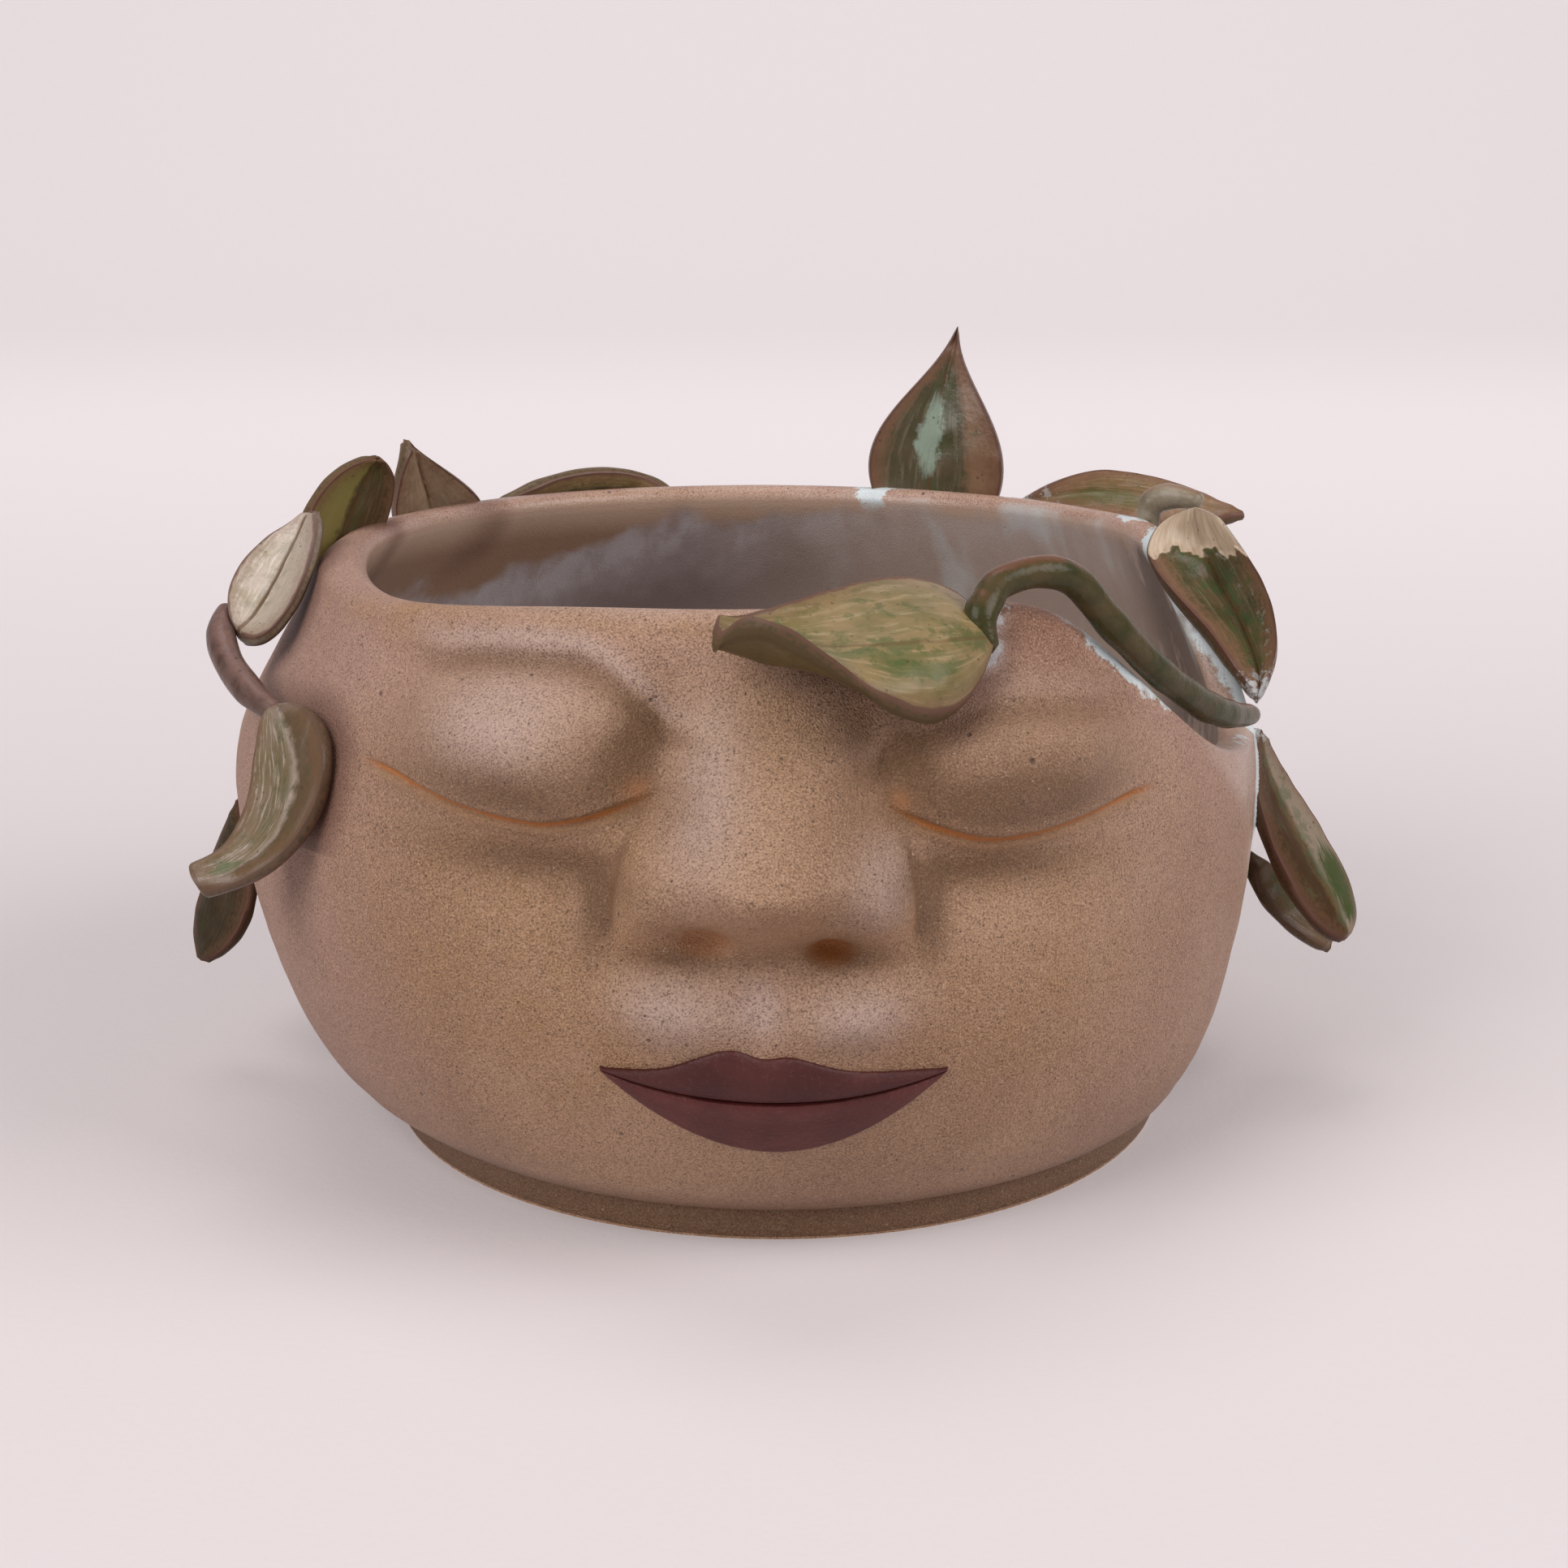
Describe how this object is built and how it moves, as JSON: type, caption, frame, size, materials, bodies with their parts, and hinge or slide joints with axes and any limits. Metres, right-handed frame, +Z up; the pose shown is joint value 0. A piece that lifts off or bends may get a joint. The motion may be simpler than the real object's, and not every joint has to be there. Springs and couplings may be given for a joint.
{
  "type": "face planter",
  "caption": "Round stoneware plant pot with a sleeping face in relief, dark lips, and a glazed vine with leaves laid round its rim.",
  "frame": {"origin": "centre of the pot's foot, on the table", "axes": "+Z up out of the mouth, the face looks along -Y, +X is to the right of someone who looks at the face"},
  "size_m": [0.1765, 0.1631, 0.1065],
  "materials": {
    "speckled_stoneware": "unglazed satin stoneware, tan brown with fine dark and pale specks",
    "burgundy_slip": "satin dark burgundy slip",
    "olive_glaze": "glossy olive green glaze, brown where it thins at the edges",
    "dark_olive_glaze": "glossy dark olive glaze"
  },
  "bodies": {
    "root": {"pot_wall": "speckled_stoneware", "base_slab": "speckled_stoneware", "upper_lip": "burgundy_slip", "lower_lip": "burgundy_slip", "front_vine": "dark_olive_glaze", "left_vine": "dark_olive_glaze", "back_stem": "dark_olive_glaze", "front_leaf": "olive_glaze", "right_folded_leaf": "olive_glaze", "right_hanging_leaf": "olive_glaze", "right_lower_leaf": "olive_glaze", "back_right_leaf": "olive_glaze", "tall_back_leaf": "olive_glaze", "back_low_leaf": "olive_glaze", "back_left_pointed_leaf": "olive_glaze", "back_left_round_leaf": "olive_glaze", "left_folded_leaf": "olive_glaze", "left_lower_leaf": "olive_glaze", "left_rear_leaf": "olive_glaze"}
  },
  "joints": []
}
